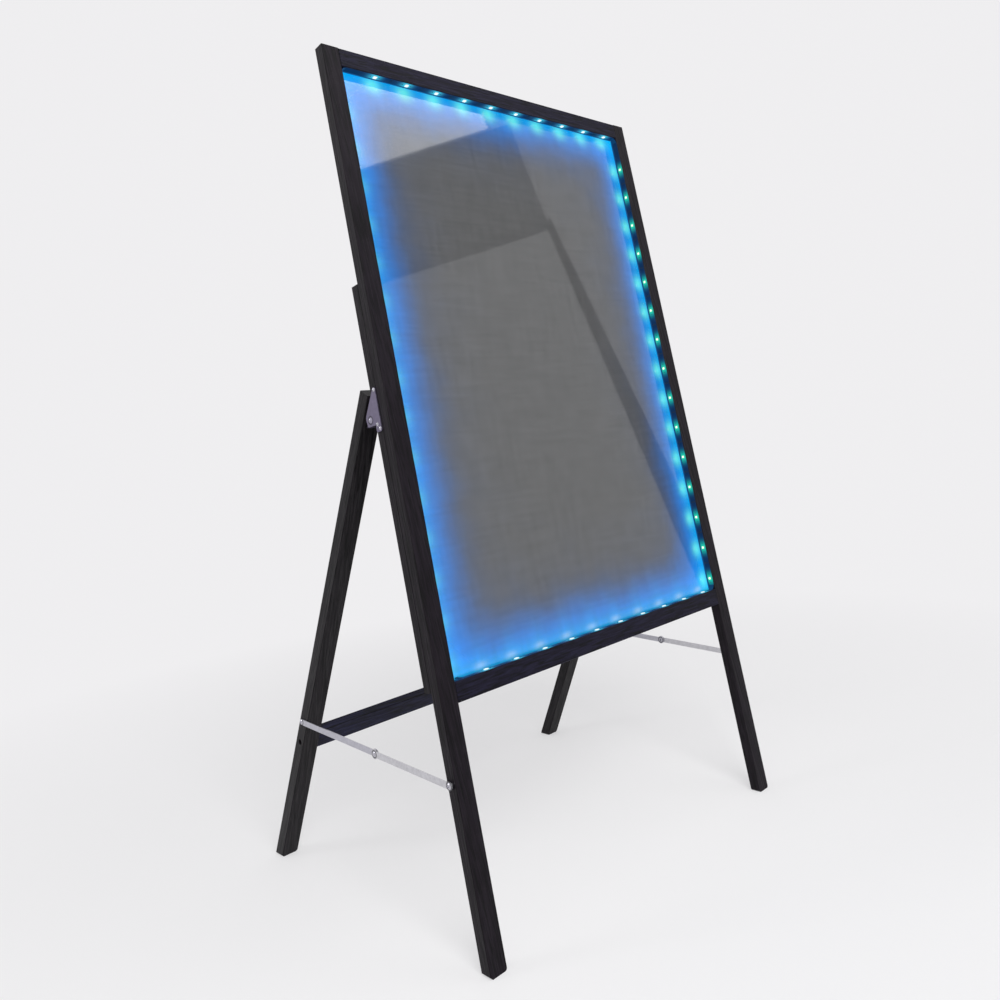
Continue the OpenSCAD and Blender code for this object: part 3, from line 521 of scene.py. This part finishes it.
def addBlock(bm, low, high, where, material=0):
    # a box between two corners, placed by a matrix
    xs, ys, zs = zip(low, high)
    corners = [bm.verts.new(where @ Vector((x, y, z))) for x in xs for y in ys for z in zs]
    for quad in ((0, 1, 3, 2), (4, 6, 7, 5), (0, 4, 5, 1), (2, 3, 7, 6), (0, 2, 6, 4), (1, 5, 7, 3)):
        bm.faces.new([corners[i] for i in quad]).material_index = material


# clear sheet, a hair in front of the board it lies on
sheet = {
    "tint": (0.10, 0.12, 0.13, 1), "alpha": 0.012, "alphaHaze": 0.012, "roughness": 0.04, "roughHaze": 0.03,
    "hazeScale": 14, "ior": 1.49, "gap": 0.00015, "edge": 0.0003,
}


def sheetFinish():
    f = Finish("clear_acrylic")
    x, depth, s = f.tilted(frameCentre, stand["lean"])
    haze = f.noise(f.join(x, depth, s), sheet["hazeScale"], 4, 0.6)
    return f.surface(Base_Color=sheet["tint"], Roughness=sheet["roughness"] + haze * sheet["roughHaze"],
                     Alpha=sheet["alpha"] + haze * sheet["alphaHaze"], IOR=sheet["ior"])


bm = bmesh.new()
half = stand["innerHalf"] + stand["panelOver"]
sheetBack = stand["panelDepth"] + stand["sheetThick"] - sheet["gap"]
addBlock(bm, (-half, stand["panelDepth"], stand["railTop"] - stand["panelOver"]),
         (half, sheetBack, stand["openingTop"] + stand["panelOver"]), toFrame)
bmesh.ops.bevel(bm, geom=bm.edges[:], offset=sheet["edge"], segments=2, affect="EDGES")
addPiece("clearSheet", bm, [sheetFinish()], "front_frame", "clear_sheet", "writing_sheet")
print("clear sheet made")


def addLamp(bm, where):
    # square package with a round bowl, a lit floor and solder pads; z is away from the tape
    half, top = lamps["side"] / 2, lamps["tapeThick"] + lamps["height"]
    floor, sides = lamps["tapeThick"], lamps["sides"]

    def ring(radius, z):
        return [bm.verts.new(where @ Vector((radius * math.cos(a), radius * math.sin(a), z)))
                for a in (2 * math.pi * i / sides for i in range(sides))]

    def square(z):
        made = []
        for i in range(sides):
            a = 2 * math.pi * i / sides
            c, s = math.cos(a), math.sin(a)
            grow = half / max(abs(c), abs(s))
            made.append(bm.verts.new(where @ Vector((c * grow, s * grow, z))))
        return made

    deep = top - lamps["bowlDeep"]
    loops = [square(floor), square(top), ring(lamps["bowl"], top), ring(lamps["bowl"] * lamps["bowlFloor"], deep),
             ring(lamps["hotSpot"], deep)]
    for k, (a, b) in enumerate(zip(loops, loops[1:])):
        for i in range(sides):
            j = (i + 1) % sides
            bm.faces.new((a[i], a[j], b[j], b[i])).material_index = 2 if k == 3 else 0
    bm.faces.new(loops[-1]).material_index = 1
    bm.faces.new(loops[0][::-1]).material_index = 0
    for side in (-1, 1):
        for along in (-lamps["padOff"], lamps["padOff"]):
            near, far = side * half, side * (half + lamps["padOut"])
            addBlock(bm, (along - lamps["padWide"] / 2, min(near, far), floor),
                     (along + lamps["padWide"] / 2, max(near, far), floor + lamps["padHigh"]), where, 3)


def runMatrix(run):
    # x along the run, y to the back, z off the face that carries the tape
    inner, low, high = stand["innerHalf"], stand["railTop"], stand["openingTop"]
    onRight = Matrix.Translation((inner, 0, low)) @ Matrix.Rotation(math.radians(-90), 4, "Y")
    if run == "bottom":
        m = Matrix.Translation((-inner, 0, low))
    elif run == "top":
        m = Matrix.Translation((-inner, 0, high)) @ Matrix.Diagonal((1, 1, -1, 1))
    elif run == "right":
        m = onRight
    else:
        m = Matrix.Diagonal((-1, 1, 1, 1)) @ onRight
    return toFrame @ m


# small parts on the tape
detail = {
    "resistorLong": 0.0016, "resistorWide": 0.0009, "resistorHigh": 0.0005, "resistorOff": 0.0075,
    "padLong": 0.0022, "padWide": 0.0013, "padHigh": 0.00012, "padPitch": 0.0023, "padCount": 4,
}


def addChip(bm, kind, x, y, where, material):
    # a resistor or a copper pad that lies on the tape
    long, wide, z = detail[kind + "Long"] / 2, detail[kind + "Wide"] / 2, lamps["tapeThick"]
    addBlock(bm, (x - long, y - wide, z), (x + long, y + wide, z + detail[kind + "High"]), where, material)


for run in ("bottom", "right", "top", "left"):
    onRail = run in ("bottom", "top")
    first, count = (lamps["railFirst"], lamps["railCount"]) if onRail else (lamps["stileFirst"], lamps["stileCount"])
    where = runMatrix(run)
    bm = bmesh.new()
    for i in range(count):
        addLamp(bm, where @ Matrix.Translation((first + i * lamps["pitch"], lamps["tapeMid"], 0)))
    core, rim = (hotCyan, cyanRim) if onRail else (hotWhite, greenRim)
    package = packageWhite if onRail else packageGreen
    addPiece(f"lamps_{run}", bm, [package, core, rim, steel], "front_frame", "lamps", f"leds_{run}")
    bm = bmesh.new()
    for i in range(count):
        x = first + i * lamps["pitch"]
        for k in (-1, 1):  # a resistor each side of a lamp
            addChip(bm, "resistor", x + k * detail["resistorOff"], lamps["tapeMid"], where, 0)
        if i < count - 1:  # copper pads at the cut line
            for k in range(detail["padCount"]):
                y = lamps["tapeMid"] + (k - (detail["padCount"] - 1) / 2) * detail["padPitch"]
                addChip(bm, "pad", x + lamps["pitch"] / 2, y, where, 1)
    addPiece(f"tape_parts_{run}", bm, [casePlastic, dullCopper], "front_frame", "tape")
print("lamps made")

# floor and backdrop
studio = {
    "floor": 0.85, "glow": 0.57, "glowFar": 0.95, "glowFrom": 0.7, "glowTo": 1.8, "paper": (0.878, 0.871, 0.885, 1),
    "back": 3.2, "bend": 1.6, "bendStep": 7.5, "bendSteps": 12, "wide": 9.0, "front": 5.0, "tall": 6.0,
    "under": 0.0002, "turn": -46, "seen": (0.85, 0.85, 0.86, 1), "air": (0.52, 0.52, 0.53, 1),
}


def stageFinish():
    f = Finish("studio_paper")
    paper = f.node("ShaderNodeBsdfDiffuse", {}, {"Color": grey(studio["floor"])})
    lit = f.node("ShaderNodeEmission", {}, {"Color": studio["paper"], "Strength": 1.0})
    x, y, z = f.place()
    far = ((x * x + y * y + z * z) ** 0.5 - studio["glowFrom"]) / (studio["glowTo"] - studio["glowFrom"])
    glow = studio["glow"] + far.most(0).least(1) * (studio["glowFar"] - studio["glow"])
    mixed = f.node("ShaderNodeMixShader", {}, {0: f.shown() * glow, 1: paper, 2: lit})
    f.node("ShaderNodeOutputMaterial", {}, {0: mixed})
    return f.material


bm = bmesh.new()
profile = [(-studio["front"], 0.0), (studio["back"] - studio["bend"], 0.0)]
profile += [(studio["back"] - studio["bend"] + studio["bend"] * math.sin(a), studio["bend"] * (1 - math.cos(a)))
            for a in (math.radians(studio["bendStep"] * i) for i in range(1, studio["bendSteps"] + 1))]
profile.append((studio["back"], studio["tall"]))
turn = Matrix.Rotation(math.radians(studio["turn"]), 4, "Z")  # the backdrop stands square to the camera
rows = [[bm.verts.new(turn @ Vector((x, y, z - studio["under"]))) for x in (-studio["wide"], studio["wide"])]
        for y, z in profile]
for a, b in zip(rows, rows[1:]):
    bm.faces.new((a[0], a[1], b[1], b[0])).smooth = True
mesh = bpy.data.meshes.new("studio")
bm.to_mesh(mesh)
bm.free()
backdrop = bpy.data.objects.new("studio", mesh)
bpy.context.scene.collection.objects.link(backdrop)
mesh.materials.append(stageFinish())

scene = bpy.context.scene
scene.view_settings.view_transform = "Standard"
world = bpy.data.worlds.new("studio_air")
scene.world = world
f = Finish("studio_air", world)
sky = f.mix(f.shown(), studio["air"], studio["seen"])
f.node("ShaderNodeOutputWorld", {}, {0: f.node("ShaderNodeBackground", {}, {0: sky})})


def addLight(name, place, aim, wide, high, energy):
    lamp = bpy.data.lights.new(name, "AREA")
    lamp.shape, lamp.size, lamp.size_y, lamp.energy = "RECTANGLE", wide, high, energy
    thing = bpy.data.objects.new(name, lamp)
    scene.collection.objects.link(thing)
    thing.location = place
    thing.rotation_euler = (Vector(aim) - Vector(place)).to_track_quat("-Z", "Y").to_euler()


# place, aim, width, height and power
lights = {
    "key": ((-1.2, -2.6, 2.3), (0, 0, 0.5), 1.6, 1.6, 78),
    "glint": ((-2.3, 1.2, 1.7), (-0.33, 0.1, 0.4), 0.7, 0.7, 10),
}
for name, setting in lights.items():
    addLight(name, *setting)

# dark flags and a window light, which the sheet mirrors; the flags show only in gloss
flags = {
    "centre": (1.68, -1.75, 1.30), "facing": (-0.70, 0.67, -0.245),
    "ceiling": ((-1.2, 0.745), (0.225, 0.745), (0.20, 1.19), (-1.2, 1.19)),
    "beam": ((-1.2, 0.70), (0.225, 0.70), (0.222, 0.745), (-1.2, 0.745)),
    "post": ((0.385, -1.15), (0.50, -1.15), (0.245, 0.745), (0.215, 0.745)),
    "tone": {"ceiling": 0.20, "beam": 0.12, "post": 0.02},
    "window": (-0.52, 1.62, 1.25, 0.84), "windowPower": 9.2,
}
ahead = Vector(flags["facing"]).normalized()
aside = ahead.cross(Vector((0, 0, 1))).normalized()
onFlag = Matrix((aside, aside.cross(ahead), -ahead)).transposed().to_4x4()
onFlag.translation = Vector(flags["centre"])


def flagFinish(name):
    f = Finish("felt_" + name)
    felt = f.node("ShaderNodeEmission", {}, {"Color": grey(flags["tone"][name]), "Strength": 1.0})
    f.node("ShaderNodeOutputMaterial", {}, {0: felt})
    return f.material


for name in flags["tone"]:
    bm = bmesh.new()
    bm.faces.new([bm.verts.new(onFlag @ Vector((x, y, 0))) for x, y in flags[name]])
    mesh = bpy.data.meshes.new("flag_" + name)
    bm.to_mesh(mesh)
    bm.free()
    flag = bpy.data.objects.new("flag_" + name, mesh)
    scene.collection.objects.link(flag)
    mesh.materials.append(flagFinish(name))
    flag.visible_camera = flag.visible_diffuse = flag.visible_shadow = flag.visible_transmission = False
across, up, wide, high = flags["window"]
spot = onFlag @ Vector((across, up, 0))
addLight("window", spot, spot + ahead, wide, high, flags["windowPower"])

# camera fitted to the picture
view = {
    "place": (-0.9707, -1.12826, 0.676), "azimuth": -46.294, "elevation": -0.3, "roll": 5.156,
    "lens": 31.016, "sensor": 36, "shiftX": -0.0771, "shiftY": -0.0854,
}
az, el, roll = (math.radians(view[k]) for k in ("azimuth", "elevation", "roll"))
back = Vector((math.sin(az) * math.cos(el), -math.cos(az) * math.cos(el), math.sin(el)))
level = (-back).cross(Vector((0, 0, 1))).normalized()
down = (-back).cross(level)
right = level * math.cos(roll) + down * math.sin(roll)
up = level * math.sin(roll) - down * math.cos(roll)
camera = bpy.data.cameras.new("camera")
camera.lens, camera.shift_x, camera.shift_y = view["lens"], view["shiftX"], view["shiftY"]
camera.sensor_width = view["sensor"]
cameraThing = bpy.data.objects.new("camera", camera)
cameraThing.matrix_world = Matrix.Translation(view["place"]) @ Matrix((right, up, back)).transposed().to_4x4()
scene.collection.objects.link(cameraThing)
scene.camera = cameraThing
print("studio and camera set")
